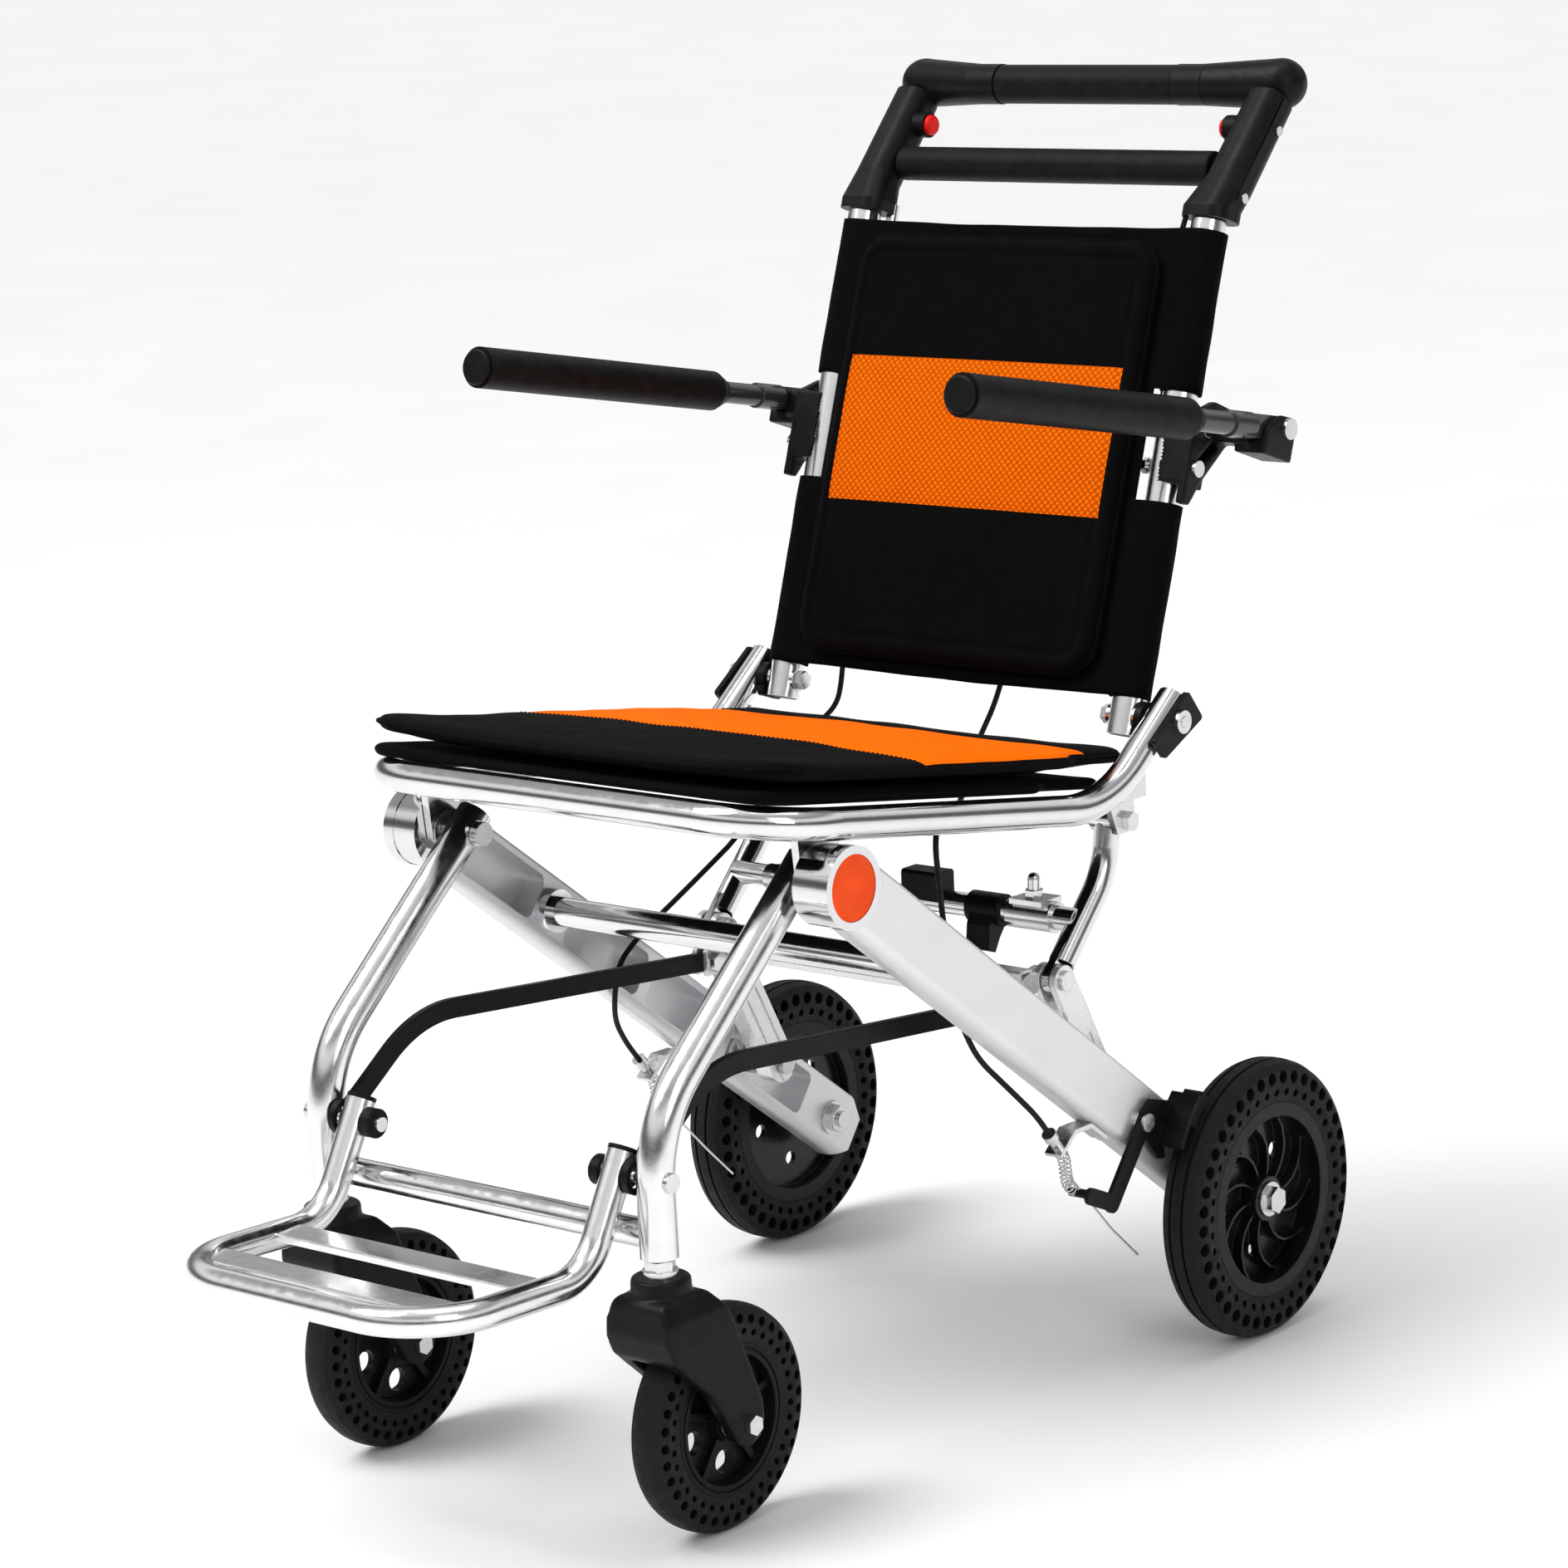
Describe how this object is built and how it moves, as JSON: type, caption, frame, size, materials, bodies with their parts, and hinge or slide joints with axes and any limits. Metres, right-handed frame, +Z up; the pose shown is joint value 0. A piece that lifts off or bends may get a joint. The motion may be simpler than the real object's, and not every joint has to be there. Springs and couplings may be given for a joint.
{
  "type": "folding transport wheelchair",
  "caption": "Folding transport wheelchair with padded seat and back, flip-up armrests, telescoping push handle, footrest, swivel casters and braked rear wheels.",
  "frame": {"origin": "centre of the footprint on the floor, under the middle of the chair", "axes": "+Z up, -Y the way the occupant faces, +X the occupant's left"},
  "size_m": [0.476, 0.9126, 0.8917],
  "materials": {
    "beam_alloy": "satin cast and extruded alloy",
    "black_fabric": "woven",
    "black_foam": "matte foam",
    "black_metal": "satin",
    "black_plastic": "satin",
    "black_rubber": "matte",
    "chrome_tube": "polished",
    "grey_plastic": "satin",
    "orange_plastic": "gloss",
    "red_plastic": "gloss",
    "tyre": "matte",
    "zinc_steel": "zinc plated"
  },
  "bodies": {
    "base": {"beam_left": "beam_alloy", "beam_right": "beam_alloy", "upper_crossbar": "chrome_tube", "hub_discs": "orange_plastic", "frame_bolts": "zinc_steel", "rear_axles": "zinc_steel", "rear_bearings": "zinc_steel", "brake_anchors": "zinc_steel", "brake_springs": "zinc_steel", "brake_cables": "black_rubber"},
    "seat_frame": {"seat_frame": "chrome_tube", "seat_brackets": "black_metal", "seat_frame_bolts": "zinc_steel", "seat_sling": "black_fabric", "seat_cushion": "black_fabric"},
    "rear_support": {"rear_support_frame": "chrome_tube", "fold_latch": "black_plastic"},
    "fold_lever": {"fold_lever": "black_plastic"},
    "strut": {"struts": "beam_alloy", "rear_bar": "beam_alloy", "strut_pins": "zinc_steel"},
    "fold_links": {"fold_links": "black_metal"},
    "front_legs": {"front_leg_frame": "chrome_tube", "caster_bushes": "black_plastic", "footrest_bolts": "zinc_steel"},
    "footrest": {"footrest_frame": "chrome_tube", "footrest_knobs": "black_plastic"},
    "caster_left": {"caster_fork_left": "black_plastic", "caster_bolts_left": "zinc_steel"},
    "caster_right": {"caster_fork_right": "black_plastic", "caster_bolts_right": "zinc_steel"},
    "caster_wheel_left": {"caster_tyre_left": "tyre", "caster_rim_left": "black_plastic"},
    "caster_wheel_right": {"caster_tyre_right": "tyre", "caster_rim_right": "black_plastic"},
    "rear_wheel_left": {"rear_tyre_left": "tyre", "rear_rim_left": "grey_plastic"},
    "rear_wheel_right": {"rear_tyre_right": "tyre", "rear_rim_right": "grey_plastic"},
    "brake_lever_left": {"brake_lever_left": "black_metal", "brake_shoe_left": "black_rubber"},
    "brake_lever_right": {"brake_lever_right": "black_metal", "brake_shoe_right": "black_rubber"},
    "backrest": {"back_posts": "chrome_tube", "backrest_sling": "black_fabric", "backrest_pad": "black_fabric", "arm_brackets": "black_plastic", "arm_bracket_bolts": "zinc_steel", "rod_guides": "black_plastic"},
    "armrest_left": {"armrest_tube_left": "grey_plastic", "armrest_grip_left": "black_foam"},
    "armrest_right": {"armrest_tube_right": "grey_plastic", "armrest_grip_right": "black_foam"},
    "handle": {"handle_sleeves": "black_plastic", "grip_bar": "black_foam", "handle_rods": "chrome_tube", "brake_bar": "chrome_tube", "brake_bar_foam": "black_foam"},
    "handle_button_left": {"handle_button_left": "red_plastic"},
    "handle_button_right": {"handle_button_right": "red_plastic"}
  },
  "joints": [
    {"name": "frame_fold", "type": "hinge", "parent": "base", "child": "seat_frame", "pos_m": [0, -0.11975, 0.408], "axis": [1, 0, 0], "range_deg": [0, 5.5]},
    {"name": "leg_fold", "type": "hinge", "parent": "base", "child": "front_legs", "pos_m": [0, -0.11975, 0.408], "axis": [1, 0, 0], "range_deg": [-0.1, 13.12]},
    {"name": "strut_fold", "type": "hinge", "parent": "base", "child": "strut", "pos_m": [0, 0.20325, 0.165], "axis": [1, 0, 0], "range_deg": [-17.07, 0.1]},
    {"name": "support_fold", "type": "hinge", "parent": "seat_frame", "child": "rear_support", "pos_m": [0, 0.21025, 0.384], "axis": [1, 0, 0], "range_deg": [-0.1, 13.72]},
    {"name": "link_fold", "type": "hinge", "parent": "strut", "child": "fold_links", "pos_m": [0, 0.10525, 0.269], "axis": [1, 0, 0], "range_deg": [-0.1, 25.32]},
    {"name": "fold_lever_squeeze", "type": "hinge", "parent": "rear_support", "child": "fold_lever", "pos_m": [0, 0.17125, 0.319], "axis": [1, 0, 0], "range_deg": [-25, 0], "stiffness_Nm_per_rad": 0.05, "springref_deg": 5.73},
    {"name": "footrest_flip", "type": "hinge", "parent": "front_legs", "child": "footrest", "pos_m": [0, -0.26675, 0.245], "axis": [1, 0, 0], "range_deg": [-90, 0]},
    {"name": "back_fold", "type": "hinge", "parent": "seat_frame", "child": "backrest", "pos_m": [0, 0.23625, 0.452], "axis": [1, 0, 0], "range_deg": [0, 77]},
    {"name": "armrest_left_flip", "type": "hinge", "parent": "backrest", "child": "armrest_left", "pos_m": [0.213, 0.34025, 0.643], "axis": [1, 0, 0], "range_deg": [-98, 0]},
    {"name": "armrest_right_flip", "type": "hinge", "parent": "backrest", "child": "armrest_right", "pos_m": [-0.213, 0.34025, 0.643], "axis": [1, 0, 0], "range_deg": [-98, 0]},
    {"name": "handle_slide", "type": "slide", "parent": "backrest", "child": "handle", "axis": [0, 0.3289, 0.9444], "range_m": [0, 0.1]},
    {"name": "button_left_press", "type": "slide", "parent": "handle", "child": "handle_button_left", "axis": [1, 0, 0], "range_m": [0, 0.0018], "stiffness_N_per_m": 800, "springref_m": -0.001},
    {"name": "button_right_press", "type": "slide", "parent": "handle", "child": "handle_button_right", "axis": [-1, 0, 0], "range_m": [0, 0.0018], "stiffness_N_per_m": 800, "springref_m": -0.001},
    {"name": "caster_left_swivel", "type": "hinge", "parent": "front_legs", "child": "caster_left", "pos_m": [0.147, -0.26675, 0.18], "axis": [0, 0, 1], "continuous": true},
    {"name": "caster_wheel_left_spin", "type": "hinge", "parent": "caster_left", "child": "caster_wheel_left", "pos_m": [0.147, -0.21975, 0.075], "axis": [1, 0, 0], "continuous": true},
    {"name": "rear_wheel_left_spin", "type": "hinge", "parent": "base", "child": "rear_wheel_left", "pos_m": [0.219, 0.28625, 0.1], "axis": [1, 0, 0], "continuous": true},
    {"name": "brake_left_pull", "type": "hinge", "parent": "base", "child": "brake_lever_left", "pos_m": [0.2, 0.17925, 0.179], "axis": [1, 0, 0], "range_deg": [-5, 0], "stiffness_Nm_per_rad": 3, "springref_deg": 5.73},
    {"name": "caster_right_swivel", "type": "hinge", "parent": "front_legs", "child": "caster_right", "pos_m": [-0.147, -0.26675, 0.18], "axis": [0, 0, 1], "continuous": true},
    {"name": "caster_wheel_right_spin", "type": "hinge", "parent": "caster_right", "child": "caster_wheel_right", "pos_m": [-0.147, -0.21975, 0.075], "axis": [1, 0, 0], "continuous": true},
    {"name": "rear_wheel_right_spin", "type": "hinge", "parent": "base", "child": "rear_wheel_right", "pos_m": [-0.219, 0.28625, 0.1], "axis": [1, 0, 0], "continuous": true},
    {"name": "brake_right_pull", "type": "hinge", "parent": "base", "child": "brake_lever_right", "pos_m": [-0.2, 0.17925, 0.179], "axis": [1, 0, 0], "range_deg": [-5, 0], "stiffness_Nm_per_rad": 3, "springref_deg": 5.73}
  ],
  "couplings": [
    {"joint": "leg_fold", "follows": "frame_fold", "ratio": 2.33},
    {"joint": "strut_fold", "follows": "frame_fold", "ratio": -3.05},
    {"joint": "support_fold", "follows": "frame_fold", "ratio": 2.44},
    {"joint": "link_fold", "follows": "frame_fold", "ratio": 4.55}
  ]
}
